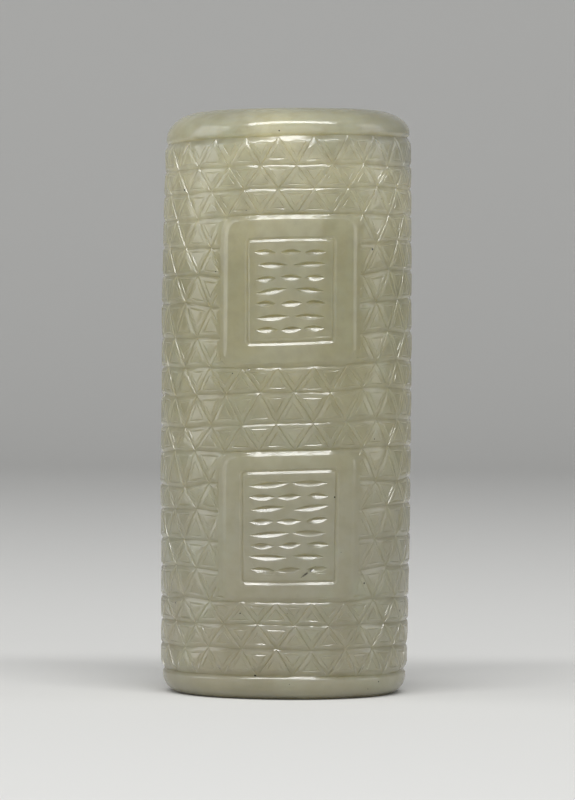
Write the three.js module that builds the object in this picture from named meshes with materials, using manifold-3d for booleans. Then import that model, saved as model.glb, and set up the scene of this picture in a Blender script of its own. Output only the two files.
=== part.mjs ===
// A tube bead carved from one piece of pale jade. A slightly barrelled body stands between two
// rounded collars and is drilled through for a cord. Rows of small triangles are cut round the body,
// and two smooth plaques, each with an incised frame, break the rows on the front.
//
// Millimetres, +Z up along the bore. The origin is the centre of the lower end face, and the plaques
// face -Y.

import * as THREE from 'three';
import { mergeVertices } from 'three/addons/utils/BufferGeometryUtils.js';
import Module from 'manifold-3d';

const wasm = await Module();
wasm.setup();

// Driving dimensions: the stone
const BODY_RADIUS = 13; // over the carved rows, at mid length
const BARREL = 0.28; // how far that radius falls off towards the collars
const LOWER_COLLAR_HEIGHT = 2.4; // from the end face to the middle of the collar's groove
const UPPER_COLLAR_HEIGHT = 3;
const COLLAR_SET_IN = 0.14; // a collar's lip below the surface of the rows beside it
const LOWER_SHOULDER_WIDTH = 2.8; // how far in from its lip a collar rounds over to the end face
const UPPER_SHOULDER_WIDTH = 5.2;

// Driving dimensions: the bore, drilled from both ends so that it narrows to a waist
const BORE_MOUTH_RADIUS = 3.5;
const BORE_WAIST_RADIUS = 3.25;
const MOUTH_CHAMFER = 0.4;

// Driving dimensions: the rows of triangles
const BAND_ROWS = 3; // rows above, between and below the plaques
const PLAQUE_ROWS = 5; // rows that a plaque stands as tall as
const PLAQUES = 2;
const LOWER_BAND_ROW = 2.5; // height of a row below the plaques
const MIDDLE_BAND_ROW = 2.84; // of one between them
const UPPER_BAND_ROW = 2.66; // of one above them
const PLAQUE_ROW = 3.06; // and of one beside a plaque
const TRIANGLES_ROUND = 22; // triangles that stand on one ring groove
const LATTICE_PHASE = THREE.MathUtils.degToRad(4); // turns the rows against the plaques
const GROOVE_WIDTH = 0.6;
const GROOVE_DEPTH = 0.28;

// Driving dimensions: the plaques, with widths measured round the surface
const PLAQUE_WIDTH = 15.6; // between the bottoms of its side grooves
const PLAQUE_CORNER = 1.8;
const PLAQUE_TURN = THREE.MathUtils.degToRad(1.8); // the plaques' middle, off the front
const PLAQUE_RISE = 0.06; // above the surface of the rows
const PLAQUE_BEVEL = 0.8; // the sloping edge, from the groove round the plaque up to its face
const PLAQUE_GROOVE_OUTSIDE = 0.5; // from the same groove out to the rows
const PLAQUE_GROOVE_DEPTH = 0.45;
const LOWEST_FRAME_WIDTH = 9.8;
const LOWEST_FRAME_HEIGHT = 11.2;
const FRAME_DWINDLE = 0.92; // a frame's size against the frame below it
const FRAME_CORNER = 0.3;
const FRAME_GROOVE_WIDTH = 0.4;
const FRAME_GROOVE_DEPTH = 0.25;

// Fineness
const BARREL_SEGMENTS = 72;
const BARREL_LEVELS = 10;
const BORE_SEGMENTS = 32;
const SHOULDER_STEPS = 7;
const CORNER_STEPS = 3;
const ACROSS_STEPS = 9;
const UP_STEPS = 3;
const CUT_CLEARANCE = 0.5; // how far the ends of cutters stand clear of the stone
const GROOVE_CLEARANCE = 0.1; // how far a groove's sloping walls run on above the surface
const PLAQUE_ROOT = 2; // how deep a plaque's blank reaches into the stone
const SMALLEST_CORNER = 0.05;

// Derived sizes
const ROWS = BAND_ROWS * (PLAQUES + 1) + PLAQUE_ROWS * PLAQUES;
const RING_HEIGHTS = ringHeights();
const BODY_BOTTOM = RING_HEIGHTS[0];
const BODY_TOP = RING_HEIGHTS[ROWS];
const LENGTH = BODY_TOP + UPPER_COLLAR_HEIGHT;
const TRIANGLE_BASE = (2 * Math.PI * BODY_RADIUS) / TRIANGLES_ROUND;
const COLLAR_RADIUS = BODY_RADIUS - BARREL - COLLAR_SET_IN;

// Points on the stone are drawn on its unrolled surface: x is the distance round the body from the
// front, to the right, and y is the height.

function surfaceRadius(height) {
  const middle = (BODY_BOTTOM + BODY_TOP) / 2;
  const fromMiddle = (height - middle) / (BODY_TOP - middle);
  return BODY_RADIUS - BARREL * fromMiddle ** 2;
}

function polar(radius, angle, height) {
  return new THREE.Vector3(radius * Math.sin(angle), -radius * Math.cos(angle), height);
}

function onStone(point, depth) {
  return polar(surfaceRadius(point.y) - depth, point.x / BODY_RADIUS, point.y);
}

// The first row, from the bottom, beside a plaque.
function firstRowOf(plaque) {
  return BAND_ROWS + plaque * (BAND_ROWS + PLAQUE_ROWS);
}

// Heights of the ring grooves from the lower collar to the upper one. The rows differ a little in
// height with what they stand beside.
function ringHeights() {
  const rows = Array(ROWS).fill(MIDDLE_BAND_ROW);
  rows.fill(LOWER_BAND_ROW, 0, BAND_ROWS);
  rows.fill(UPPER_BAND_ROW, ROWS - BAND_ROWS);
  for (let plaque = 0; plaque < PLAQUES; plaque++) {
    rows.fill(PLAQUE_ROW, firstRowOf(plaque), firstRowOf(plaque) + PLAQUE_ROWS);
  }
  const heights = [LOWER_COLLAR_HEIGHT];
  for (const row of rows) heights.push(heights.at(-1) + row);
  return heights;
}

// Meshes and solids

class Faces {
  constructor() {
    this.corners = [];
  }

  triangle(a, b, c) {
    this.corners.push(a, b, c);
  }

  quad(a, b, c, d) {
    this.triangle(a, b, c);
    this.triangle(a, c, d);
  }

  // A band of quads between two loops with as many points each.
  band(lower, upper) {
    lower.forEach((point, i) => {
      const next = (i + 1) % lower.length;
      this.quad(point, lower[next], upper[next], upper[i]);
    });
  }

  geometry() {
    return new THREE.BufferGeometry().setFromPoints(this.corners);
  }
}

function solidOf(geometry) {
  const bare = geometry.clone();
  bare.deleteAttribute('normal');
  bare.deleteAttribute('uv');
  const merged = mergeVertices(bare);
  const vertProperties = merged.getAttribute('position').array;
  const triVerts = Uint32Array.from(merged.index.array);
  return new wasm.Manifold(new wasm.Mesh({ numProp: 3, vertProperties, triVerts }));
}

function geometryOf(solid) {
  const mesh = solid.getMesh();
  const geometry = new THREE.BufferGeometry();
  geometry.setAttribute('position', new THREE.BufferAttribute(mesh.vertProperties, mesh.numProp));
  geometry.setIndex(new THREE.BufferAttribute(mesh.triVerts, 1));
  geometry.computeVertexNormals();
  return geometry;
}

// A solid of revolution about Z from a profile of (radius, height) points that starts and ends on it.
function revolved(profile, segments) {
  return solidOf(new THREE.LatheGeometry(profile, segments).rotateX(Math.PI / 2));
}

// One triangle of the lattice. Its sides lie along the bottoms of V grooves, and the face left
// standing is the same triangle shrunk about its incentre by half a groove on every side.
function addTriangleCell(faces, left, right, apex) {
  const toApex = [right.distanceTo(apex), left.distanceTo(apex)];
  const perimeter = toApex[0] + toApex[1] + left.distanceTo(right);
  const incentre = new THREE.Vector2()
    .addScaledVector(left, toApex[0] / perimeter)
    .addScaledVector(right, toApex[1] / perimeter)
    .addScaledVector(apex, left.distanceTo(right) / perimeter);
  const inradius = Math.abs(incentre.y - left.y);
  const kept = 1 - GROOVE_WIDTH / 2 / inradius;

  const sides = [left, right, apex];
  const bottom = sides.map((point) => onStone(point, GROOVE_DEPTH));
  const top = sides.map((point) => onStone(incentre.clone().lerp(point, kept), 0));
  faces.band(bottom, top);
  faces.triangle(top[0], top[1], top[2]);
}

// A row alternates triangles that stand on its lower ring groove and triangles that hang from its
// upper one. Each row is set half a triangle round from the row below.
function addRow(faces, row) {
  const bottom = RING_HEIGHTS[row];
  const top = RING_HEIGHTS[row + 1];
  const start = LATTICE_PHASE * BODY_RADIUS + (row % 2) * (TRIANGLE_BASE / 2);
  for (let i = 0; i < TRIANGLES_ROUND; i++) {
    const x = start + i * TRIANGLE_BASE;
    const corner = (halves, height) => new THREE.Vector2(x + (halves * TRIANGLE_BASE) / 2, height);
    addTriangleCell(faces, corner(0, bottom), corner(2, bottom), corner(1, top));
    addTriangleCell(faces, corner(3, top), corner(1, top), corner(2, bottom));
  }
}

// The collar's profile from the groove beside the rows, over its lip and rounded shoulder, to the edge
// of the end face, as points of (radius, distance from the end face).
function collarProfile(height, shoulderWidth) {
  const lipHeight = height - GROOVE_WIDTH / 2;
  const profile = [new THREE.Vector2(surfaceRadius(BODY_TOP) - GROOVE_DEPTH, height)];
  for (let i = 0; i <= SHOULDER_STEPS; i++) {
    const turn = (i / SHOULDER_STEPS) * (Math.PI / 2);
    const radius = COLLAR_RADIUS - shoulderWidth * (1 - Math.cos(turn));
    profile.push(new THREE.Vector2(radius, lipHeight * (1 - Math.sin(turn))));
  }
  return profile;
}

// A collar joins the row beside it along that row's ring groove, node for node. Beyond the groove it
// has twice as many points round, so that it stays round.
function addCollar(faces, upper) {
  const ring = upper ? ROWS : 0;
  const phase = LATTICE_PHASE + ((ring % 2) * Math.PI) / TRIANGLES_ROUND;
  const loop = (point, count) =>
    Array.from({ length: count }, (_, i) => {
      const turn = (i / count) * 2 * Math.PI;
      return upper
        ? polar(point.x, phase + turn, LENGTH - point.y)
        : polar(point.x, phase - turn, point.y);
    });
  const [groove, ...shoulder] = upper
    ? collarProfile(UPPER_COLLAR_HEIGHT, UPPER_SHOULDER_WIDTH)
    : collarProfile(LOWER_COLLAR_HEIGHT, LOWER_SHOULDER_WIDTH);
  const nodes = loop(groove, TRIANGLES_ROUND);
  const loops = shoulder.map((point) => loop(point, 2 * TRIANGLES_ROUND));
  const lip = loops[0];
  const edge = loops.at(-1);
  const middle = new THREE.Vector3(0, 0, upper ? LENGTH : 0);

  nodes.forEach((node, i) => {
    const next = nodes[(i + 1) % nodes.length];
    const between = lip[2 * i + 1];
    faces.triangle(node, next, between);
    faces.triangle(node, between, lip[2 * i]);
    faces.triangle(next, lip[(2 * i + 2) % lip.length], between);
  });
  for (let i = 1; i < loops.length; i++) faces.band(loops[i - 1], loops[i]);
  edge.forEach((point, i) => faces.triangle(point, edge[(i + 1) % edge.length], middle));
}

function latticeBlank() {
  const faces = new Faces();
  for (let row = 0; row < ROWS; row++) addRow(faces, row);
  addCollar(faces, false);
  addCollar(faces, true);
  return solidOf(faces.geometry());
}

// The body's smooth barrel between the collar grooves, raised above the surface of the rows.
function smoothBarrel(rise) {
  const profile = [new THREE.Vector2(0, BODY_BOTTOM)];
  for (let i = 0; i <= BARREL_LEVELS; i++) {
    const height = THREE.MathUtils.lerp(BODY_BOTTOM, BODY_TOP, i / BARREL_LEVELS);
    profile.push(new THREE.Vector2(surfaceRadius(height) + rise, height));
  }
  profile.push(new THREE.Vector2(0, BODY_TOP));
  return revolved(profile, BARREL_SEGMENTS);
}

// A rectangle with round corners on the unrolled surface, grown on every side by a given amount. The
// loop has as many points however far it is grown.
function outline({ width, height, corner }, middleHeight, grown) {
  const radius = Math.max(corner + grown, SMALLEST_CORNER);
  const place = new THREE.Vector2(PLAQUE_TURN * BODY_RADIUS, middleHeight);
  const arcCentre = new THREE.Vector2(width / 2 + grown - radius, height / 2 + grown - radius);
  const quadrants = [[1, 1], [-1, 1], [-1, -1], [1, -1]];
  const arcs = quadrants.map(([right, up], quadrant) =>
    Array.from({ length: CORNER_STEPS + 1 }, (_, i) => {
      const angle = ((quadrant + i / CORNER_STEPS) * Math.PI) / 2;
      const spoke = new THREE.Vector2(radius * Math.cos(angle), radius * Math.sin(angle));
      return new THREE.Vector2(right, up).multiply(arcCentre).add(spoke).add(place);
    }),
  );
  return arcs.flatMap((arc, quadrant) => {
    const steps = quadrant % 2 === 0 ? ACROSS_STEPS : UP_STEPS;
    const from = arc.at(-1);
    const to = arcs[(quadrant + 1) % arcs.length][0];
    const side = Array.from({ length: steps - 1 }, (_, i) => from.clone().lerp(to, (i + 1) / steps));
    return [...arc, ...side];
  });
}

// A solid that runs straight out through the surface. Its levels are loops on the unrolled surface,
// the deepest first, each with the depth it lies at.
function radialPrism(levels) {
  const loops = levels.map(({ loop, depth }) => loop.map((point) => onStone(point, depth)));
  const faces = new Faces();
  for (let i = 1; i < loops.length; i++) faces.band(loops[i - 1], loops[i]);
  const deepest = loops[0];
  for (const [a, b, c] of THREE.ShapeUtils.triangulateShape(levels[0].loop, [])) {
    faces.triangle(deepest[c], deepest[b], deepest[a]);
  }
  const highest = loops.at(-1);
  for (const [a, b, c] of THREE.ShapeUtils.triangulateShape(levels.at(-1).loop, [])) {
    faces.triangle(highest[a], highest[b], highest[c]);
  }
  return solidOf(faces.geometry());
}

// How far above the surface a flat cap has to stand to clear the round body below it.
function capHeight(width) {
  return BODY_RADIUS / Math.cos(width / 2 / BODY_RADIUS) - BODY_RADIUS + CUT_CLEARANCE;
}

// A V groove that follows a loop: what lies inside its outer wall and outside its inner one. The
// walls cross at the groove's bottom, and go straight out once they are clear of the surface.
function loopGroove(grownLoop, loopWidth, { outside, inside, depth }) {
  const high = capHeight(loopWidth + 2 * (outside + inside));
  const wall = (reach, below, above) => {
    const loopAt = (level) => grownLoop(reach * (1 - level / depth));
    return radialPrism([
      { loop: loopAt(below), depth: below },
      { loop: loopAt(-GROOVE_CLEARANCE), depth: -GROOVE_CLEARANCE },
      { loop: loopAt(-GROOVE_CLEARANCE), depth: -above },
    ]);
  };
  const outer = wall(outside, 1.5 * depth, high);
  const inner = wall(-inside, 1.5 * depth + high, high + CUT_CLEARANCE);
  return outer.subtract(inner);
}

function withPlaque(stone, plaque) {
  const bottom = RING_HEIGHTS[firstRowOf(plaque)];
  const top = RING_HEIGHTS[firstRowOf(plaque) + PLAQUE_ROWS];
  const middle = (bottom + top) / 2;
  const plaqueSize = { width: PLAQUE_WIDTH, height: top - bottom, corner: PLAQUE_CORNER };
  const frameScale = FRAME_DWINDLE ** plaque;
  const frameWidth = LOWEST_FRAME_WIDTH * frameScale;
  const frameHeight = LOWEST_FRAME_HEIGHT * frameScale;
  const frameSize = { width: frameWidth, height: frameHeight, corner: FRAME_CORNER };
  const border = (grown) => outline(plaqueSize, middle, grown);
  const frame = (grown) => outline(frameSize, middle, grown);
  const borderGroove = {
    outside: PLAQUE_GROOVE_OUTSIDE,
    inside: PLAQUE_BEVEL,
    depth: PLAQUE_GROOVE_DEPTH,
  };
  const frameGroove = {
    outside: FRAME_GROOVE_WIDTH / 2,
    inside: FRAME_GROOVE_WIDTH / 2,
    depth: FRAME_GROOVE_DEPTH,
  };

  const column = radialPrism([
    { loop: border(0), depth: PLAQUE_ROOT },
    { loop: border(0), depth: -capHeight(PLAQUE_WIDTH) },
  ]);
  return stone
    .add(column.intersect(smoothBarrel(PLAQUE_RISE)))
    .subtract(loopGroove(border, PLAQUE_WIDTH, borderGroove))
    .subtract(loopGroove(frame, frameWidth, frameGroove));
}

function bore() {
  const beyond = BORE_MOUTH_RADIUS + MOUTH_CHAMFER + CUT_CLEARANCE;
  const profile = [
    new THREE.Vector2(0, -CUT_CLEARANCE),
    new THREE.Vector2(beyond, -CUT_CLEARANCE),
    new THREE.Vector2(BORE_MOUTH_RADIUS, MOUTH_CHAMFER),
    new THREE.Vector2(BORE_WAIST_RADIUS, LENGTH / 2),
    new THREE.Vector2(BORE_MOUTH_RADIUS, LENGTH - MOUTH_CHAMFER),
    new THREE.Vector2(beyond, LENGTH + CUT_CLEARANCE),
    new THREE.Vector2(0, LENGTH + CUT_CLEARANCE),
  ];
  return revolved(profile, BORE_SEGMENTS);
}

function carvedStone() {
  let stone = latticeBlank();
  for (let plaque = 0; plaque < PLAQUES; plaque++) stone = withPlaque(stone, plaque);
  return stone.subtract(bore());
}

const jade = new THREE.MeshStandardMaterial({ color: 0xa39e82, roughness: 0.22, metalness: 0 });
const stone = new THREE.Mesh(geometryOf(carvedStone()), jade);
stone.name = 'bead_stone';

const bead = new THREE.Group();
bead.add(stone);

export default bead;
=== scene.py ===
# The looks of the carved jade tube bead: the finely carved stone, its jade, and a plain studio.
# Carving is worked out in millimetres, and objects are made in metres in the CAD model's frame.

import math

import bmesh
import bpy
import numpy as np
from mathutils import Matrix, Vector
from mathutils.geometry import delaunay_2d_cdt


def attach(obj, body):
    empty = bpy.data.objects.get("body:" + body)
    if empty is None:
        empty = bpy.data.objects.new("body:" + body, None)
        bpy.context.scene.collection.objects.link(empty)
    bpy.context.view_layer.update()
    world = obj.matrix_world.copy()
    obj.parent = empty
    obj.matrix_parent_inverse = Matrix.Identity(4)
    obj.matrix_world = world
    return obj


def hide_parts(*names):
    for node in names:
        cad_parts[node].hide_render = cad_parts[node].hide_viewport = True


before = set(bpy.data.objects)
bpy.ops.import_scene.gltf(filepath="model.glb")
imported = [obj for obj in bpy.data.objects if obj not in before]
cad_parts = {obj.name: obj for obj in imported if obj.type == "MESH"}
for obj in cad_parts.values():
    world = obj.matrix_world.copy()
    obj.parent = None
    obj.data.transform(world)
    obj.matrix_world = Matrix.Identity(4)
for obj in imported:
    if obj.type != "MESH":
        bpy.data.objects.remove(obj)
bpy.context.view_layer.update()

MM = 0.001
rng = np.random.default_rng(11)

# The stone, with the CAD model's sizes, except that the collars' shoulders are fuller
BODY_RADIUS = 13.0
BARREL = 0.28
LOWER_COLLAR_HEIGHT = 2.4
UPPER_COLLAR_HEIGHT = 3.0
COLLAR_SET_IN = 0.14
LOWER_SHOULDER_WIDTH = 1.75
UPPER_SHOULDER_WIDTH = 3.6
BORE_MOUTH_RADIUS = 3.5
BORE_WAIST_RADIUS = 3.25
MOUTH_ROUNDING = 0.4
# Share of the way over a shoulder where wear begins to dull it, on to the end face
DULL_START = 0.7

# Rows of triangles
BAND_ROWS = 3
PLAQUE_ROWS = 5
PLAQUES = 2
LOWER_BAND_ROW = 2.5
MIDDLE_BAND_ROW = 2.84
UPPER_BAND_ROW = 2.66
PLAQUE_ROW = 3.06
TRIANGLES_ROUND = 22
LATTICE_PHASE = math.radians(4)
# Columns are counted from the back, where the unrolled surface meets itself
FIRST_COLUMN = -TRIANGLES_ROUND // 2

# Plaques, with pairs of sizes for their lower and upper edges
PLAQUE_WIDTH = 15.3
PLAQUE_CORNER = 1.8
PLAQUE_TURN = math.radians(1.8)
PLAQUE_RISE = (0.02, 0.22)
# Share of the half width where the rise begins to fade towards the sides
RISE_FADE_START = 0.5
PLAQUE_BEVEL = 0.5
PLAQUE_SIDE_BEVEL = 1.0
PLAQUE_GROOVE_OUTSIDE = (0.28, 0.45)
PLAQUE_GROOVE_DEPTH = (0.165, 0.07)
PLAQUE_SIDE_DEPTH = 0.065
# Share of a side bevel that stays as deep as the groove
PLAQUE_SIDE_LEDGE = 0.4
# The groove grows faint at the corners, from this far along the ends and along the sides
CORNER_ON_END = 2.5
CORNER_ON_SIDE = 1.5
CORNER_FADE = 0.7

# Frames, as width and height from the lower plaque up, and the rows of leaf-shaped cuts in them
FRAME_SIZES = ((9.8, 11.2), (9.0, 10.3))
FRAME_CORNER = 0.3
FRAME_HALF_WIDTH = 0.25
FRAME_DEPTH = 0.145
LEAF_ROWS = (8, 7)
LEAF_MARGIN = 0.7
LEAF_WIDTH = 0.66
LEAF_LEAN = 0.5
SCOOP_CURVE = 0.25
# Least and most depth of a leaf, least and most share of its place that it fills, and its strays
LEAF_DEPTH = (0.24, 0.32)
LEAF_LENGTH_SHARE = (0.8, 0.98)
LEAF_STRAY_ROUND = 0.08
LEAF_STRAY_UP = 0.04
LEAF_STRAY_TILT = math.radians(2.5)

# The cuts of the lattice
ROW_CROWN = 0.05
ROW_CROWN_POWER = 5
RING_HALF_WIDTH = 0.28
RING_DEPTH = 0.13
RING_SOFTNESS = 0.25
COLLAR_GROOVE_HALF_WIDTH = 0.62
COLLAR_GROOVE_DEPTH = 0.34
COLLAR_LIP_WIDTH = 0.31
COLLAR_LIP_DEPTH = COLLAR_GROOVE_DEPTH - COLLAR_SET_IN
# Softness of the grooves along the collars and round the plaques
BORDER_SOFTNESS = 0.08
DIAGONAL_HALF_WIDTH = 0.075
DIAGONAL_DEPTH = 0.12
DIAGONAL_SOFTNESS = 0.45
# Distances from the collars and plaques where the diagonals begin, and where they are full depth
DIAGONAL_FROM_COLLAR = (0.3, 0.7)
DIAGONAL_FROM_PLAQUE = (0.1, 0.45)
DEPTH_UNEVENNESS = 0.12

# The smaller triangle scratched inside each triangle, with the least and the most of what varies
SCRATCH_INSET = (0.42, 0.6)
SCRATCH_OVERSHOOT = (0.0, 0.3)
SLANT_SCRATCH_HALF_WIDTH = 0.07
SLANT_SCRATCH_DEPTH = (0.05, 0.1)
LEVEL_SCRATCH_HALF_WIDTH = 0.12
LEVEL_SCRATCH_DEPTH = (0.055, 0.08)

# The flat face of each triangle, which is narrower and lower than the triangle by these margins
FACET_FLATNESS = 0.9
FACET_TILT = 0.03
FACET_SIDE_MARGIN = 0.75
FACET_HEIGHT_MARGIN = 1.2
# Where the face begins, and where it is full, in half widths of a ring from the triangle's sides
FACET_EDGE = (0.1, 1.0)

# How far the hand-cut lines stray: each crossing at random, and each ring, from the lowest up
CROSSING_STRAY = 0.1
CROSSING_STRAY_LIMIT = 0.25
RING_STRAYS = (
    0, 0.2, 0.25, 0.1, 0.28, 0.3, 0.25, -0.35, 0.1, -0.1,
    0.25, 0.3, 0.2, 0.6, 0.5, 0.25, 0, 0, -0.3, 0,
)
# Distances from the plaques where the lines begin to stray, and where they stray in full
STRAY_FROM_PLAQUE = (0.3, 4.0)
# The rings rise to the right: how far, the heights where that begins and is full, and its share on top
RING_SKEW = 0.45
SKEW_HEIGHTS = (6, 24)
TOP_SKEW = 0.47
LINE_WANDER = 0.05
POLISH_WAVE = 0.03

# Fineness of the mesh on the triangles: loops at shares of the grooves, with steps along each side
BORDER_STEPS = 4
GROOVE_LOOPS = ((0.4, 2), (0.8, 3), (1.2, 2), (1.6, 2))
SCRATCH_POINTS = 8
SCRATCH_STOPS = (-1, -0.4, 0.4, 1)

# Fineness of the mesh on the plaques: loops at shares of the groove, the bevel and the frame's line
GROOVE_SHARES = (0.5, 1.1)
BEVEL_SHARES = (0, 0.1, 0.4, 0.55, 0.7, 0.85, 1.0, 1.12)
FRAME_SHARES = (-1, -0.5, 0, 0.5, 1)
LENS_POINTS = 9
CORNER_STEPS = 5
SMALLEST_CORNER = 0.05
OUTLINE_SPACING = 0.45
FILL_SPACING = 0.7
FILL_MARGIN = 1.5

# Fineness of the mesh on the collars: the lip's loops and the shoulder's start, in widths of the lip
LIP_SHARES = (0.5, 0.85, 1.0, 1.2)
SHOULDER_START = 1.4
SHOULDER_STEPS = 18
SHOULDER_GRADING = 1.3

# Fineness of the mesh on the end faces and in the bore
END_FACE_LOOP_RADIUS = 5.0
MOUTH_LOOP_MARGIN = 0.15
MOUTH_STEPS = 4
BORE_LOOPS = (4, 12, 24)

# How near points are joined, how near they count as on the seam or a rim, and which edges stay sharp
MERGE_DISTANCE = 1e-4
WELD_DISTANCE = 5e-4
SEAM_MARGIN = 1e-4
RIM_MARGIN = 1e-3
CREASE_ANGLE = math.radians(22)
# Stands in for no distance at all in a division
LEAST_DISTANCE = 1e-6

ROWS = BAND_ROWS * (PLAQUES + 1) + PLAQUE_ROWS * PLAQUES
BASE = 2 * math.pi * BODY_RADIUS / TRIANGLES_ROUND
COLLAR_RADIUS = BODY_RADIUS - BARREL - COLLAR_SET_IN


def smoothstep(low, high, value):
    share = np.clip((value - low) / (high - low), 0, 1)
    return share * share * (3 - 2 * share)


def first_row_of(plaque):
    return BAND_ROWS + plaque * (BAND_ROWS + PLAQUE_ROWS)


def row_heights():
    heights = np.full(ROWS, MIDDLE_BAND_ROW)
    heights[:BAND_ROWS] = LOWER_BAND_ROW
    heights[ROWS - BAND_ROWS :] = UPPER_BAND_ROW
    for plaque in range(PLAQUES):
        first = first_row_of(plaque)
        heights[first : first + PLAQUE_ROWS] = PLAQUE_ROW
    return heights


PITCHES = row_heights()
RINGS = LOWER_COLLAR_HEIGHT + np.concatenate([[0], np.cumsum(PITCHES)])
LENGTH = RINGS[ROWS] + UPPER_COLLAR_HEIGHT
SLANTS = np.hypot(BASE / 2, PITCHES)
# Distances of a triangle's corners from the sides they face: two base corners, then the apex
ALTITUDES = np.stack([BASE * PITCHES / SLANTS, BASE * PITCHES / SLANTS, PITCHES])
SIDES = np.stack([SLANTS, SLANTS, np.full(ROWS, BASE)])


# Places on the unrolled surface: s is the distance round the body from the front, z the height.


def surface_radius(z):
    middle = (RINGS[0] + RINGS[ROWS]) / 2
    return BODY_RADIUS - BARREL * ((z - middle) / (RINGS[ROWS] - middle)) ** 2


def row_start(row):
    return LATTICE_PHASE * BODY_RADIUS + (row % 2) * BASE / 2


def cell_corners(row, column, hanging):
    start = row_start(row) + column * BASE
    low, high = RINGS[row], RINGS[row + 1]
    if hanging:
        return np.array([[start + 1.5 * BASE, high], [start + 0.5 * BASE, high], [start + BASE, low]])
    return np.array([[start, low], [start + BASE, low], [start + 0.5 * BASE, high]])


def along_row(s, z):
    """Row, share of the way up it, and how many triangles lie between its start and the place."""
    row = np.clip(np.searchsorted(RINGS, z, side="right") - 1, 0, ROWS - 1)
    up = (z - RINGS[row]) / PITCHES[row]
    return row, up, (s - row_start(row)) / BASE - up / 2


def locate(s, z):
    """Row, column, whether the triangle hangs, and the shares of its two base corners and apex."""
    row, up, along = along_row(s, z)
    column = np.floor(along)
    across = along - column
    hanging = across + up > 1
    upright_shares = np.stack([1 - across - up, across, up])
    hanging_shares = np.stack([across + up - 1, 1 - across, 1 - up])
    shares = np.where(hanging, hanging_shares, upright_shares)
    return row, column.astype(int) % TRIANGLES_ROUND, hanging.astype(int), shares


def box_distance(s, z, centre, size, corner):
    """Signed distance from a rectangle with round corners, negative inside."""
    ds = np.abs(s - centre[0]) - (size[0] / 2 - corner)
    dz = np.abs(z - centre[1]) - (size[1] / 2 - corner)
    outside = np.hypot(np.maximum(ds, 0), np.maximum(dz, 0))
    return outside + np.minimum(np.maximum(ds, dz), 0) - corner


def plaque_box(plaque, share=0):
    """Centre, size and corner radius of a plaque's border, or of a line that share across its bevel."""
    bottom = RINGS[first_row_of(plaque)]
    top = RINGS[first_row_of(plaque) + PLAQUE_ROWS]
    centre = (PLAQUE_TURN * BODY_RADIUS, (bottom + top) / 2)
    size = (PLAQUE_WIDTH - 2 * share * PLAQUE_SIDE_BEVEL, top - bottom - 2 * share * PLAQUE_BEVEL)
    return centre, size, PLAQUE_CORNER - share * PLAQUE_BEVEL


def from_front(s):
    """The same place, counted from the front by the shorter way round."""
    return (s + math.pi * BODY_RADIUS) % (2 * math.pi * BODY_RADIUS) - math.pi * BODY_RADIUS


def plaque_distance(s, z, share=0):
    """Signed distance from the nearest plaque's border, or from a line that share across its bevel."""
    boxes = [plaque_box(plaque, share) for plaque in range(PLAQUES)]
    return np.min([box_distance(from_front(s), z, *box) for box in boxes], axis=0)


def of_nearer_plaque(values, z):
    """The lower plaque's value in the lower half of the stone, and the upper plaque's above it."""
    lower, upper = values
    return np.where(z < LENGTH / 2, lower, upper)


def beside_plaque(s, z):
    """How far a place on a plaque's groove belongs to the side: 1 along the sides, 0 above and below."""
    shares = []
    for plaque in range(PLAQUES):
        centre, size, _ = plaque_box(plaque)
        sideways = np.abs(from_front(s) - centre[0]) - size[0] / 2
        upward = np.abs(z - centre[1]) - size[1] / 2
        shares.append(smoothstep(-CORNER_ON_END, CORNER_ON_SIDE, sideways - upward))
    return of_nearer_plaque(shares, z)


def between(edges, z):
    """A plaque's size at a height, from its sizes at its lower and upper edges."""
    lower, upper = edges
    shares = []
    for plaque in range(PLAQUES):
        centre, size, _ = plaque_box(plaque)
        shares.append(np.clip((z - centre[1]) / size[1] + 0.5, 0, 1))
    return lower + (upper - lower) * of_nearer_plaque(shares, z)


def plaque_groove_depth(s, z):
    """Depth of the groove round the plaques, shallower along their sides and faint at their corners."""
    beside = beside_plaque(s, z)
    at_ends = between(PLAQUE_GROOVE_DEPTH, z)
    depth = at_ends + (PLAQUE_SIDE_DEPTH - at_ends) * beside
    at_corner = 4 * beside * (1 - beside)
    return depth * (1 - CORNER_FADE * at_corner)


# Hand work: how each triangle and each crossing of the lattice departs from the regular one

CELLS = (ROWS, TRIANGLES_ROUND, 2)
SCRATCH_HALF_WIDTHS = (SLANT_SCRATCH_HALF_WIDTH, SLANT_SCRATCH_HALF_WIDTH, LEVEL_SCRATCH_HALF_WIDTH)
INSETS = rng.uniform(*SCRATCH_INSET, (*CELLS, 3))
OVERSHOOTS = rng.uniform(*SCRATCH_OVERSHOOT, (*CELLS, 3))
SCRATCH_DEPTHS = rng.uniform(*SLANT_SCRATCH_DEPTH, (*CELLS, 3))
SCRATCH_DEPTHS[..., 2] = rng.uniform(*LEVEL_SCRATCH_DEPTH, CELLS)
TILTS = rng.normal(0, FACET_TILT, (*CELLS, 2))


def crossing_strays():
    """How far each crossing strays round and up: not beside the plaques, and only round at the collars."""
    strays = rng.normal(0, CROSSING_STRAY, (ROWS + 1, TRIANGLES_ROUND, 2))
    strays = np.clip(strays, -CROSSING_STRAY_LIMIT, CROSSING_STRAY_LIMIT)
    strays[:, :, 1] += np.array(RING_STRAYS)[:, None]
    strays[[0, ROWS], :, 1] = 0
    for ring in range(ROWS + 1):
        s = row_start(ring) + np.arange(TRIANGLES_ROUND) * BASE
        clear = smoothstep(*STRAY_FROM_PLAQUE, plaque_distance(s, RINGS[ring]))
        strays[ring] *= clear[:, None]
    return strays


STRAYS = crossing_strays()


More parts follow.
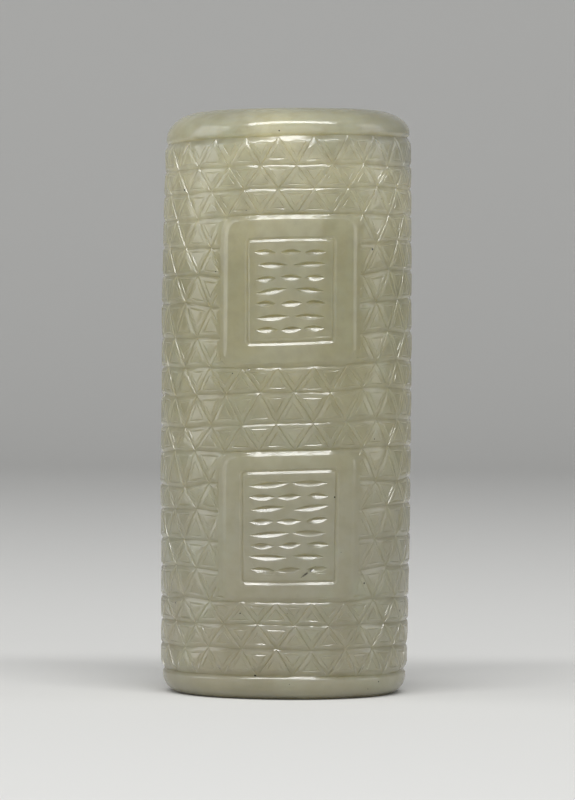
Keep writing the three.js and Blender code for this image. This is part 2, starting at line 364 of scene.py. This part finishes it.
class Waves:
    """A smooth wander over the stone, the same again after a full turn."""

    def __init__(self, turns, climbs, count=7):
        self.turns = rng.integers(-turns, turns + 1, count)
        self.climbs = rng.uniform(-climbs, climbs, count)
        self.phases = rng.uniform(0, 2 * math.pi, count)

    def __call__(self, angle, z):
        total = 0
        for turns, climb, phase in zip(self.turns, self.climbs, self.phases):
            total = total + np.sin(turns * angle + climb * z + phase)
        return total / math.sqrt(len(self.phases))


round_wander = Waves(turns=5, climbs=0.35)
height_wander = Waves(turns=5, climbs=0.35)
polish_wander = Waves(turns=9, climbs=0.7)
depth_wander = Waves(turns=16, climbs=1.2)


def strayed(s, z, row, column, hanging, shares):
    """Moves points of the regular lattice to where the carver cut them."""
    odd = row % 2
    rings = np.where(hanging, [row + 1, row + 1, row], [row, row, row + 1])
    first = np.where(hanging, column + 1 + odd, column)
    second = np.where(hanging, column + odd, column + 1)
    apex = np.where(hanging, column + 1, column + odd)
    crossings = np.stack([first, second, apex]) % TRIANGLES_ROUND
    shift = (shares[:, :, None] * STRAYS[rings, crossings]).sum(axis=0)
    return s + shift[:, 0], z + shift[:, 1]


def skewed(angle, z, radius):
    """Heights on the rings, which rise to the right in the upper part, up to the nearly level top."""
    ends = np.clip(np.minimum(z, LENGTH - z) / LOWER_COLLAR_HEIGHT, 0, 1)
    levelled = smoothstep(LENGTH - UPPER_COLLAR_HEIGHT, LENGTH, z)
    lean = RING_SKEW * np.sin(angle) * smoothstep(*SKEW_HEIGHTS, z) * (1 + (TOP_SKEW - 1) * levelled)
    return z + lean * radius / BODY_RADIUS + LINE_WANDER * ends * height_wander(angle, z)


def on_stone(s, z, radius):
    """Points in space, from places on the unrolled surface and radii."""
    angle = s / BODY_RADIUS
    turned = angle + LINE_WANDER / BODY_RADIUS * round_wander(angle, z)
    out = radius + POLISH_WAVE * polish_wander(angle, z)
    height = skewed(angle, z, radius)
    return np.stack([out * np.sin(turned), -out * np.cos(turned), height], axis=-1)


# Depths of the cuts


def v_cut(share, softness):
    """A V groove's depth with soft edges, where share is the distance over the half width."""
    rest = 1 - share
    return (rest + np.sqrt(rest * rest + softness**2)) / 2


def row_crown(z, row):
    """How far each row falls away towards the rings above and below it."""
    return ROW_CROWN * np.abs(2 * (z - RINGS[row]) / PITCHES[row] - 1) ** ROW_CROWN_POWER


def lattice_depth(s, z, row, shares):
    """The grooves between the triangles: diagonals, rings, and the deeper ones along the collars."""
    distances = shares * ALTITUDES[:, row]
    uneven = 1 + DEPTH_UNEVENNESS * depth_wander(s / BODY_RADIUS, z)
    from_collar = np.minimum(z - RINGS[0], RINGS[ROWS] - z)
    from_slant = np.minimum(distances[0], distances[1])
    slants = DIAGONAL_DEPTH * v_cut(from_slant / DIAGONAL_HALF_WIDTH, DIAGONAL_SOFTNESS)
    slants *= smoothstep(*DIAGONAL_FROM_COLLAR, from_collar)
    slants *= smoothstep(*DIAGONAL_FROM_PLAQUE, plaque_distance(s, z))
    from_ring = np.minimum(distances[2], PITCHES[row] - distances[2])
    rings = RING_DEPTH * v_cut(from_ring / RING_HALF_WIDTH, RING_SOFTNESS)
    ends = COLLAR_GROOVE_DEPTH * v_cut(from_collar / COLLAR_GROOVE_HALF_WIDTH, BORDER_SOFTNESS)
    return np.maximum(np.maximum(slants, rings), ends) * uneven


def facet_depth(row, column, hanging, shares):
    """What is ground off each triangle to make its face flat and set it at its own slight tilt."""
    from_side = (shares * ALTITUDES[:, row]).min(axis=0)
    on_face = smoothstep(*FACET_EDGE, from_side / RING_HALF_WIDTH)
    across = (shares[0] - shares[1]) * np.where(hanging, 1, -1) * BASE / 2
    above_groove = shares[2] * PITCHES[row] - RING_HALF_WIDTH
    climb = np.clip(above_groove / (PITCHES[row] - FACET_HEIGHT_MARGIN), 0, 1)
    half_turn = (BASE / 2 - FACET_SIDE_MARGIN) / BODY_RADIUS
    chord = math.cos(half_turn) + (1 - math.cos(half_turn)) * climb
    flat = BODY_RADIUS * (1 - chord / np.cos(across / BODY_RADIUS))
    tilt = TILTS[row, column, hanging]
    leaning = tilt[:, 0] * across + tilt[:, 1] * (shares[2] - 1 / 3) * PITCHES[row]
    return on_face * (FACET_FLATNESS * flat + leaning)


def scratch_depth(row, column, hanging, shares):
    """The smaller triangle scratched inside each triangle, one line along each side."""
    insets = (INSETS[row, column, hanging] / ALTITUDES[:, row].T).T
    span = 1 - insets.sum(axis=0)
    deepest = np.zeros(len(row))
    for side in range(3):
        following, last = (side + 1) % 3, (side + 2) % 3
        off = np.abs(shares[side] - insets[side]) * ALTITUDES[side, row]
        slide = (shares[following] - insets[following]) - (shares[last] - insets[last])
        along = slide / 2 * SIDES[side, row]
        half = span * SIDES[side, row] / 2 + OVERSHOOTS[row, column, hanging, side]
        swell = np.sqrt(np.maximum(1 - (along / half) ** 2, 0))
        cut = np.maximum(swell - off / SCRATCH_HALF_WIDTHS[side], 0)
        deepest = np.maximum(deepest, SCRATCH_DEPTHS[row, column, hanging, side] * cut)
    return deepest


class Lens:
    """A lens-shaped hollow, whose lean says where it is deepest: -1 is its lower edge, 1 its upper."""

    def __init__(self, centre, angle, length, width, depth, lean=0):
        self.centre = np.array(centre)
        self.along = np.array([math.cos(angle), math.sin(angle)])
        self.across = np.array([-self.along[1], self.along[0]])
        self.half_length = length / 2
        self.half_width = width / 2
        self.depth = depth
        self.lean = lean

    def scoop(self, s, z):
        """Depth of the hollow."""
        away = np.stack([s, z], axis=-1) - self.centre
        swell = 1 - (away @ self.along / self.half_length) ** 2
        across = away @ self.across / self.half_width
        lower_wall = (swell + across) / (1 + self.lean)
        upper_wall = (swell - across) / (1 - self.lean)
        wall = np.maximum(np.minimum(lower_wall, upper_wall), 0)
        return self.depth * wall * (1 + SCOOP_CURVE * (1 - wall))

    def arc(self, bulge):
        """Points along the lens, from end to end, on its lower edge at -1 and its upper edge at 1."""
        return [self.point(along, bulge * (1 - along**2)) for along in np.linspace(-1, 1, LENS_POINTS)]

    def point(self, along, across):
        return (
            self.centre
            + along * self.half_length * self.along
            + across * self.half_width * self.across
        )


def leaf_ornament(plaque):
    """Rows of leaf-shaped cuts inside a frame, two long ones and three short ones by turns."""
    centre = plaque_box(plaque)[0]
    width, height = (side - 2 * LEAF_MARGIN for side in FRAME_SIZES[plaque])
    cuts = []
    for row in range(LEAF_ROWS[plaque]):
        count = 3 - row % 2
        z = centre[1] + height * ((row + 0.5) / LEAF_ROWS[plaque] - 0.5)
        for i in range(count):
            s = centre[0] + width / count * (i - (count - 1) / 2) + rng.normal(0, LEAF_STRAY_ROUND)
            length = width / count * rng.uniform(*LEAF_LENGTH_SHARE)
            tilt = rng.normal(0, LEAF_STRAY_TILT)
            place = (s, z + rng.normal(0, LEAF_STRAY_UP))
            depth = rng.uniform(*LEAF_DEPTH)
            cuts.append(Lens(place, tilt, length, LEAF_WIDTH, depth, LEAF_LEAN))
    return cuts


ORNAMENT = leaf_ornament(0) + leaf_ornament(1)
# A natural dark flaw in the jade, in the lower plaque, and how soon it is dark from its edge
FLAW = Lens(centre=(2.4, 13.0), angle=math.radians(34), length=2.2, width=0.3, depth=0.04)
FLAW_CONTRAST = 2.5


def plaque_rise(s, z):
    """How far a plaque's face stands out from the rows: most in the middle of its upper edge."""
    lowest = PLAQUE_RISE[0]
    sideways = np.abs(from_front(s) - PLAQUE_TURN * BODY_RADIUS) / (PLAQUE_WIDTH / 2)
    inward = 1 - smoothstep(RISE_FADE_START, 1, sideways)
    return lowest + (between(PLAQUE_RISE, z) - lowest) * inward


def plaque_depth(s, z):
    """A plaque's bevel and face, with its frame, its ornament and the flaw."""
    from_border = np.maximum(-plaque_distance(s, z), 0)
    from_face = plaque_distance(s, z, share=1)
    across = from_border / (from_border + np.maximum(from_face, LEAST_DISTANCE))
    across += np.maximum(-from_face, 0) / PLAQUE_BEVEL
    beside = beside_plaque(s, z)
    sides = 1 - smoothstep(PLAQUE_SIDE_LEDGE, 1, across)
    ends = v_cut(across, BORDER_SOFTNESS)
    depth = plaque_groove_depth(s, z) * (ends + (sides - ends) * beside)
    depth -= plaque_rise(s, z) * np.minimum(across, 1)
    for plaque in range(PLAQUES):
        centre = plaque_box(plaque)[0]
        off = np.abs(box_distance(s, z, centre, FRAME_SIZES[plaque], FRAME_CORNER))
        depth += FRAME_DEPTH * np.maximum(1 - off / FRAME_HALF_WIDTH, 0)
    scoops = [lens.scoop(s, z) for lens in ORNAMENT]
    return depth + np.max(scoops, axis=0) + FLAW.scoop(s, z)


def carved_depth(s, z):
    place = locate(s, z)
    row, _, _, shares = place
    faces = facet_depth(*place) + scratch_depth(*place)
    rows = np.maximum(lattice_depth(s, z, row, shares), faces) + row_crown(z, row)
    border = plaque_distance(s, z)
    outside = between(PLAQUE_GROOVE_OUTSIDE, z)
    moat = plaque_groove_depth(s, z) * v_cut(border / outside, BORDER_SOFTNESS)
    return np.where(border > 0, np.maximum(rows, moat), plaque_depth(s, z))


# The mesh of the carved body


class Plan:
    """Points and lines on the unrolled surface that the mesh has to follow."""

    def __init__(self):
        self.points = []
        self.lines = []

    def line(self, points, closed=True):
        first = len(self.points)
        self.points.extend(points)
        ids = list(range(first, len(self.points)))
        self.lines.extend(zip(ids, ids[1:]))
        if closed:
            self.lines.append((ids[-1], ids[0]))

    def triangles(self):
        points = [Vector(point) for point in self.points]
        found = delaunay_2d_cdt(points, self.lines, [], 0, MERGE_DISTANCE)
        return np.array([point[:] for point in found[0]]), np.array(found[2])


def stepped(corners, steps):
    """A closed loop through corners, with each side in that many steps."""
    loop = []
    for corner, following in zip(corners, np.roll(corners, -1, axis=0)):
        loop.extend(corner + (following - corner) * i / steps for i in range(steps))
    return loop


def inset_corners(corners, shares):
    """A triangle's corners, drawn in by a share of its altitude from each side."""
    tips = np.tile(shares, (3, 1))
    for k in range(3):
        tips[k, k] = 0
        tips[k, k] = 1 - tips[k].sum()
    return tips @ corners


def plan_cell(plan, row, column, hanging):
    """A triangle's border, its grooves, and the outline and middle of each of its scratches."""
    corners = cell_corners(row, column, hanging)
    altitudes = ALTITUDES[:, row]
    beside_collar = (row == 0 and not hanging) or (row == ROWS - 1 and hanging)
    ring_half_width = COLLAR_GROOVE_HALF_WIDTH if beside_collar else RING_HALF_WIDTH
    widths = np.array([DIAGONAL_HALF_WIDTH, DIAGONAL_HALF_WIDTH, ring_half_width])
    plan.line(stepped(corners, BORDER_STEPS))
    for share, steps in GROOVE_LOOPS:
        plan.line(stepped(inset_corners(corners, share * widths / altitudes), steps))

    insets = INSETS[row, column, hanging] / altitudes
    tips = inset_corners(corners, insets)
    turns = np.linspace(0, 2 * math.pi, SCRATCH_POINTS, endpoint=False)
    for side in range(3):
        start, end = tips[(side + 2) % 3], tips[(side + 1) % 3]
        along = (end - start) / np.linalg.norm(end - start)
        across = np.array([-along[1], along[0]])
        middle = (start + end) / 2
        half = np.linalg.norm(end - start) / 2 + OVERSHOOTS[row, column, hanging, side]
        width = SCRATCH_HALF_WIDTHS[side]
        plan.line([middle + half * math.cos(t) * along + width * math.sin(t) * across for t in turns])
        plan.line([middle + half * stop * along for stop in SCRATCH_STOPS], closed=False)


def outline(centre, size, corner, grown=0):
    """A rectangle with round corners, grown on every side."""
    half = np.array(size) / 2 + grown
    radius = max(corner + grown, SMALLEST_CORNER)
    loop = []
    for quarter, signs in enumerate(((1, 1), (-1, 1), (-1, -1), (1, -1))):
        for i in range(CORNER_STEPS + 1):
            angle = (quarter + i / CORNER_STEPS) * math.pi / 2
            spoke = radius * np.array([math.cos(angle), math.sin(angle)])
            loop.append(np.array(centre) + np.array(signs) * (half - radius) + spoke)
    spaced = []
    for point, following in zip(loop, loop[1:] + loop[:1]):
        steps = max(1, round(np.linalg.norm(following - point) / OUTLINE_SPACING))
        spaced.extend(point + (following - point) * i / steps for i in range(steps))
    return spaced


def plan_plaque(plan, plaque):
    """A plaque's groove, bevel and frame, and a grid of points that fills its face."""
    centre, size, _ = plaque_box(plaque)
    narrow, wide = PLAQUE_GROOVE_OUTSIDE
    for grown in (*(share * narrow for share in GROOVE_SHARES), wide):
        plan.line(outline(*plaque_box(plaque), grown))
    for share in BEVEL_SHARES:
        plan.line(outline(*plaque_box(plaque, share)))
    for share in FRAME_SHARES:
        plan.line(outline(centre, FRAME_SIZES[plaque], FRAME_CORNER, share * FRAME_HALF_WIDTH))
    inside = np.array(size) / 2 - FILL_MARGIN
    for s in np.arange(-inside[0], inside[0], FILL_SPACING):
        for z in np.arange(-inside[1], inside[1], FILL_SPACING):
            plan.points.append(np.array(centre) + (s, z))


def plan_body():
    """All that the mesh follows: the triangles outside the plaques, the plaques, and their cuts."""
    plan = Plan()
    for row in range(ROWS):
        for column in range(FIRST_COLUMN, FIRST_COLUMN + TRIANGLES_ROUND):
            for hanging in (0, 1):
                corners = cell_corners(row, column, hanging)
                if plaque_distance(*corners.T, share=1).max() > -PLAQUE_BEVEL:
                    plan_cell(plan, row, column, hanging)
    for plaque in range(PLAQUES):
        plan_plaque(plan, plaque)
    for lens in [*ORNAMENT, FLAW]:
        # The lower edge, a line on the lower wall, the deepest line and the upper edge
        for bulge in (-1, (lens.lean - 1) / 2, lens.lean, 1):
            plan.line(lens.arc(bulge), closed=False)
    return plan


def rim_of(ring, s, z):
    """The points on an end ring of the body, in their order round it, with the seam's point once."""
    end = row_start(ring) + (FIRST_COLUMN + TRIANGLES_ROUND) * BASE
    on_ring = np.flatnonzero((np.abs(z - RINGS[ring]) < RIM_MARGIN) & (s < end - RIM_MARGIN))
    return on_ring[np.argsort(s[on_ring])]


def carved_body():
    """Points, triangles, depths of cut, shares of flaw, lower and upper rim, and places round."""
    places, triangles = plan_body().triangles()
    columns = along_row(*places[triangles].mean(axis=1).T)[2] - FIRST_COLUMN
    triangles = triangles[(columns > SEAM_MARGIN) & (columns < TRIANGLES_ROUND - SEAM_MARGIN)]

    s, z = places.T
    depth = carved_depth(s, z)
    flaw = np.clip(FLAW_CONTRAST * FLAW.scoop(s, z) / FLAW.depth, 0, 1)
    rims = [rim_of(ring, s, z) for ring in (0, ROWS)]
    new_s, new_z = strayed(s, z, *locate(s, z))
    points = on_stone(new_s, new_z, surface_radius(new_z) - depth)
    return points, triangles, depth, flaw, rims, new_s


# The mesh of the whole bead


def collar_profile(height, shoulder_width):
    """From the collar's groove to the bore, as (radius, distance from the end face, dullness)."""
    profile = []
    for share in LIP_SHARES:
        set_in = COLLAR_LIP_DEPTH * v_cut(share, BORDER_SOFTNESS)
        profile.append((COLLAR_RADIUS - set_in, height - share * COLLAR_LIP_WIDTH, 0))
    lip = height - SHOULDER_START * COLLAR_LIP_WIDTH
    for i in range(SHOULDER_STEPS + 1):
        share = i / SHOULDER_STEPS
        turn = share**SHOULDER_GRADING * math.pi / 2
        in_from_lip = shoulder_width * (1 - math.cos(turn))
        dullness = smoothstep(DULL_START, 1, share)
        profile.append((COLLAR_RADIUS - in_from_lip, lip * (1 - math.sin(turn)), dullness))
    edge = BORE_MOUTH_RADIUS + MOUTH_ROUNDING
    profile += [(END_FACE_LOOP_RADIUS, 0, 1), (edge + MOUTH_LOOP_MARGIN, 0, 1)]
    for i in range(MOUTH_STEPS + 1):
        turn = i / MOUTH_STEPS * math.pi / 2
        radius = edge - MOUTH_ROUNDING * math.sin(turn)
        profile.append((radius, MOUTH_ROUNDING * (1 - math.cos(turn)), 1))
    for distance in BORE_LOOPS:
        narrowing = (BORE_MOUTH_RADIUS - BORE_WAIST_RADIUS) * distance / (LENGTH / 2)
        profile.append((BORE_MOUTH_RADIUS - narrowing, distance, 1))
    return profile


def bridge(loop, following):
    """The faces between two loops of as many points."""
    count = len(loop)
    return [
        (loop[i], loop[(i + 1) % count], following[(i + 1) % count], following[i])
        for i in range(count)
    ]


def add_attribute(mesh, name, values):
    attribute = mesh.attributes.new(name, "FLOAT", "POINT")
    attribute.data.foreach_set("value", values.astype(np.float32))


def weld(mesh):
    """Joins the seam where the unrolled surface meets itself, and points all faces out."""
    bm = bmesh.new()
    bm.from_mesh(mesh)
    bmesh.ops.remove_doubles(bm, verts=bm.verts, dist=WELD_DISTANCE * MM)
    bmesh.ops.triangulate(bm, faces=bm.faces)
    bmesh.ops.recalc_face_normals(bm, faces=bm.faces)
    bm.to_mesh(mesh)
    bm.free()
    mesh.shade_smooth()
    mesh.set_sharp_from_angle(angle=CREASE_ANGLE)


def bead_mesh():
    """The carved body, closed by its collars, its end faces and the bore."""
    body, triangles, depth, flaw, rims, places = carved_body()
    points = list(body)
    faces = [tuple(triangle) for triangle in triangles]
    dull = [0.0] * len(points)
    profiles = (
        collar_profile(LOWER_COLLAR_HEIGHT, LOWER_SHOULDER_WIDTH),
        collar_profile(UPPER_COLLAR_HEIGHT, UPPER_SHOULDER_WIDTH),
    )
    bore_rims = []
    for rim, profile, upper in zip(rims, profiles, (False, True)):
        loop = list(rim)
        for radius, distance, dullness in profile:
            z = LENGTH - distance if upper else distance
            following = list(range(len(points), len(points) + len(rim)))
            points.extend(on_stone(places[rim], z, radius))
            dull.extend([dullness] * len(rim))
            faces.extend(bridge(loop, following))
            loop = following
        bore_rims.append(loop)
    faces.extend(bridge(*bore_rims))

    mesh = bpy.data.meshes.new("jade_bead")
    mesh.from_pydata([tuple(point * MM) for point in points], [], faces)
    uncut = np.zeros(len(points) - len(body))
    cut = np.clip(depth / (ROW_CROWN + RING_DEPTH), 0, 1)
    add_attribute(mesh, "cut", np.append(cut, uncut))
    add_attribute(mesh, "flaw", np.append(flaw, uncut))
    add_attribute(mesh, "dull", np.array(dull))
    weld(mesh)
    return mesh


# Materials


class Nodes:
    """A material's nodes, added and linked by short calls."""

    def __init__(self, name):
        self.material = bpy.data.materials.new(name)
        self.material.use_nodes = True
        self.tree = self.material.node_tree
        self.shader = self.tree.nodes["Principled BSDF"]

    def put(self, value, socket):
        if isinstance(value, bpy.types.NodeSocket):
            self.tree.links.new(value, socket)
        else:
            socket.default_value = value

    def put_all(self, node, inputs):
        """Puts values into a node's inputs, whose names have underscores for spaces."""
        for name, value in inputs.items():
            self.put(value, node.inputs[name.replace("_", " ")])

    def shade(self, **inputs):
        self.put_all(self.shader, inputs)

    def add(self, kind, **inputs):
        node = self.tree.nodes.new(kind)
        self.put_all(node, inputs)
        return node

    def noise(self, place, scale, detail, distortion=0):
        kind = "ShaderNodeTexNoise"
        node = self.add(kind, Vector=place, Scale=scale, Detail=detail, Distortion=distortion)
        return node.outputs["Fac"]

    def attribute(self, name):
        node = self.tree.nodes.new("ShaderNodeAttribute")
        node.attribute_name = name
        return node.outputs["Fac"]

    def remap(self, value, start=0, end=1, low=0, high=1):
        """Low where a value is at or below start, high at or beyond end, and even between."""
        kind = "ShaderNodeMapRange"
        node = self.add(kind, Value=value, From_Min=start, From_Max=end, To_Min=low, To_Max=high)
        return node.outputs["Result"]

    def maths(self, operation, *values):
        node = self.tree.nodes.new("ShaderNodeMath")
        node.operation = operation
        for value, socket in zip(values, node.inputs):
            self.put(value, socket)
        return node.outputs["Value"]

    def mix(self, share, first, second):
        """Goes from the first colour to the second by a share."""
        node = self.tree.nodes.new("ShaderNodeMix")
        node.data_type = "RGBA"
        inputs = {socket.identifier: socket for socket in node.inputs}
        self.put(share, inputs["Factor_Float"])
        self.put(first, inputs["A_Color"])
        self.put(second, inputs["B_Color"])
        outputs = {socket.identifier: socket for socket in node.outputs}
        return outputs["Result_Color"]


def srgb(red, green, blue):
    """A colour as it is seen on screen, from 0 to 255, for a node's socket."""
    linear = [
        c / 12.92 if c <= 0.04045 else ((c + 0.055) / 1.055) ** 2.4
        for c in (red / 255, green / 255, blue / 255)
    ]
    return (*linear, 1)


# Colours of the jade from the lower end to the upper, and how far their places waver along it
# Partly the stone's own tone, partly painted light: painted shade darkens both ends, painted light
# brightens the upper rows
JADE_TONE_AND_SHADING_RAMP = (
    (0.0, srgb(132, 127, 105)),
    (0.06, srgb(149, 144, 122)),
    (0.25, srgb(147, 144, 124)),
    (0.5, srgb(155, 151, 122)),
    (0.74, srgb(151, 147, 117)),
    (0.9, srgb(180, 176, 148)),
    (0.96, srgb(154, 153, 135)),
    (1.0, srgb(132, 132, 117)),
)
RAMP_WAVER = 0.3
CLOUD = srgb(152, 155, 132)
MOTTLE = srgb(134, 130, 104)
# Painted shade laid into the cuts, darker the deeper they go
SHADE_IN_CUTS = srgb(118, 113, 92)
SPECK = srgb(38, 32, 22)
DARK_FLAW = srgb(44, 36, 24)
PALE_PAPER = srgb(214, 214, 212)

# Specks in the jade: cells per metre that hold one each, and the shares of a cell that they take up
SPECK_CELLS = 420
SPECK_SIZES = (0.02, 0.055)

# Roughness of the polish, what wear adds to it, and how far red, green and blue light goes into jade
POLISH_ROUGHNESS = (0.08, 0.24)
WORN_ROUGHNESS = 0.3
REFRACTION = 1.61
LIGHT_REACH = 10.0
LIGHT_REACH_SHARES = (1.0, 0.9, 0.65)


def jade_colour(nodes, place):
    """Olive to celadon, changing along the stone with painted shade at both ends and painted light on the
    upper rows, clouded, mottled, and darker in the cuts as painted shade.
    """
    height = nodes.add("ShaderNodeSeparateXYZ", Vector=place).outputs["Z"]
    drift = nodes.noise(place, scale=45, detail=2)
    end_to_end = nodes.remap(height, end=LENGTH * MM)
    centred = nodes.maths("SUBTRACT", end_to_end, RAMP_WAVER / 2)
    wavering = nodes.maths("MULTIPLY_ADD", drift, RAMP_WAVER, centred)
    # Over the stone's own tone, the ramp paints shade at both ends and light on the upper rows
    tone_and_shading_ramp = nodes.add("ShaderNodeValToRGB", Fac=wavering)
    for position, _ in JADE_TONE_AND_SHADING_RAMP[1:-1]:
        tone_and_shading_ramp.color_ramp.elements.new(position)
    for stop, (_, colour) in zip(tone_and_shading_ramp.color_ramp.elements, JADE_TONE_AND_SHADING_RAMP):
        stop.color = colour

    cloud = nodes.noise(place, scale=160, detail=5, distortion=1.2)
    cloudy = nodes.remap(cloud, start=0.45, end=0.75, high=0.45)
    clouded = nodes.mix(cloudy, tone_and_shading_ramp.outputs["Color"], CLOUD)
    mottle = nodes.noise(place, scale=700, detail=4)
    mottled = nodes.mix(nodes.remap(mottle, start=0.4, end=0.7, high=0.4), clouded, MOTTLE)
    # Painted shade: the colour darkens where the stone is cut deeper
    painted_cut_shade = nodes.remap(nodes.attribute("cut"), start=0.3, high=0.05)
    return nodes.mix(painted_cut_shade, mottled, SHADE_IN_CUTS)


def speckled(nodes, place, colour):
    """Pin-point dark specks through the stone, and the one long flaw."""
    smallest, largest = SPECK_SIZES
    cells = nodes.add("ShaderNodeTexVoronoi", Vector=place, Scale=SPECK_CELLS)
    size = nodes.remap(cells.outputs["Color"], low=smallest, high=largest)
    speck = nodes.maths("LESS_THAN", cells.outputs["Distance"], size)
    grain = nodes.noise(place, scale=2600, detail=3)
    patchy = nodes.remap(grain, start=0.4, end=0.58)
    dark = nodes.maths("MULTIPLY", nodes.attribute("flaw"), patchy)
    return nodes.mix(dark, nodes.mix(speck, colour, SPECK), DARK_FLAW)


def jade():
    """Polished stone that light goes into, with a polish that is uneven and worn on the end faces."""
    nodes = Nodes("jade")
    place = nodes.add("ShaderNodeTexCoord").outputs["Object"]
    finest, dullest = POLISH_ROUGHNESS
    polish = nodes.remap(nodes.noise(place, scale=420, detail=3), low=finest, high=dullest)
    nodes.shade(
        Base_Color=speckled(nodes, place, jade_colour(nodes, place)),
        Roughness=nodes.maths("MULTIPLY_ADD", nodes.attribute("dull"), WORN_ROUGHNESS, polish),
        IOR=REFRACTION,
        Subsurface_Weight=1.0,
        Subsurface_Radius=LIGHT_REACH_SHARES,
        Subsurface_Scale=LIGHT_REACH * MM,
    )
    return nodes.material


def paper():
    nodes = Nodes("pale_paper")
    nodes.shade(Base_Color=PALE_PAPER, Roughness=0.9)
    return nodes.material


# The bead


def add_object(name, data):
    thing = bpy.data.objects.new(name, data)
    bpy.context.scene.collection.objects.link(thing)
    return thing


bead = add_object("jade_bead", bead_mesh())
bead.data.materials.append(jade())
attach(bead, "root")
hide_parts("bead_stone")


# The studio, in metres


def sweep():
    """A floor that curves up behind into a backdrop."""
    half_width, front, back, bend, top = 1.8, -1.4, 1.2, 0.4, 1.8
    bend_steps = 12
    profile = [(front, 0.0), (back - bend, 0.0)]
    for i in range(1, bend_steps + 1):
        turn = i / bend_steps * math.pi / 2
        profile.append((back - bend + bend * math.sin(turn), bend * (1 - math.cos(turn))))
    profile.append((back, top))
    points = [(x, y, z) for y, z in profile for x in (-half_width, half_width)]
    faces = [(2 * i, 2 * i + 1, 2 * i + 3, 2 * i + 2) for i in range(len(profile) - 1)]
    mesh = bpy.data.meshes.new("sweep")
    mesh.from_pydata(points, [], faces)
    mesh.shade_smooth()
    return mesh


floor = add_object("floor", sweep())
floor.data.materials.append(paper())

BEAD_MIDDLE = Vector((0, 0, LENGTH / 2 * MM))


def facing(place, aim):
    """The turn of a light or camera that faces from a place to another."""
    return (aim - place).to_track_quat("-Z", "Y")


def softbox(name, place, size, power):
    """A rectangular light that faces the middle of the bead."""
    lamp = bpy.data.lights.new(name, "AREA")
    lamp.shape = "RECTANGLE"
    lamp.size, lamp.size_y = size
    lamp.energy = power
    thing = add_object(name, lamp)
    thing.location = place
    thing.rotation_euler = facing(Vector(place), BEAD_MIDDLE).to_euler()


softbox("key", place=(0, -0.45, 0.81), size=(1.1, 0.18), power=7.5)
softbox("fill", place=(0, -1.1, 0.4), size=(1.4, 0.9), power=3.6)
softbox("left", place=(-0.915, -0.1, 0.3), size=(0.6, 0.8), power=2.9)
softbox("right", place=(0.9, 0, 0.3), size=(0.4, 0.7), power=1.2)

world = bpy.data.worlds.new("studio")
bpy.context.scene.world = world
world.use_nodes = True
background = world.node_tree.nodes["Background"]
background.inputs["Color"].default_value = (1, 1, 1, 1)
background.inputs["Strength"].default_value = 0.2

# The camera, at the photograph's angle
CAMERA_PLACE = Vector((0, -450, 36)) * MM
CAMERA_AIM = Vector((0.13, 0, 30.2)) * MM
CAMERA_ROLL = math.radians(0.4)
SENSOR_WIDTH = 36
FOCAL_LENGTH = 195.2

camera = add_object("camera", bpy.data.cameras.new("camera"))
camera.data.sensor_width = SENSOR_WIDTH
camera.data.lens = FOCAL_LENGTH
looking = facing(CAMERA_PLACE, CAMERA_AIM).to_matrix().to_4x4()
camera.matrix_world = Matrix.Translation(CAMERA_PLACE) @ looking @ Matrix.Rotation(CAMERA_ROLL, 4, "Z")
bpy.context.scene.camera = camera

bpy.context.scene.view_settings.view_transform = "Standard"
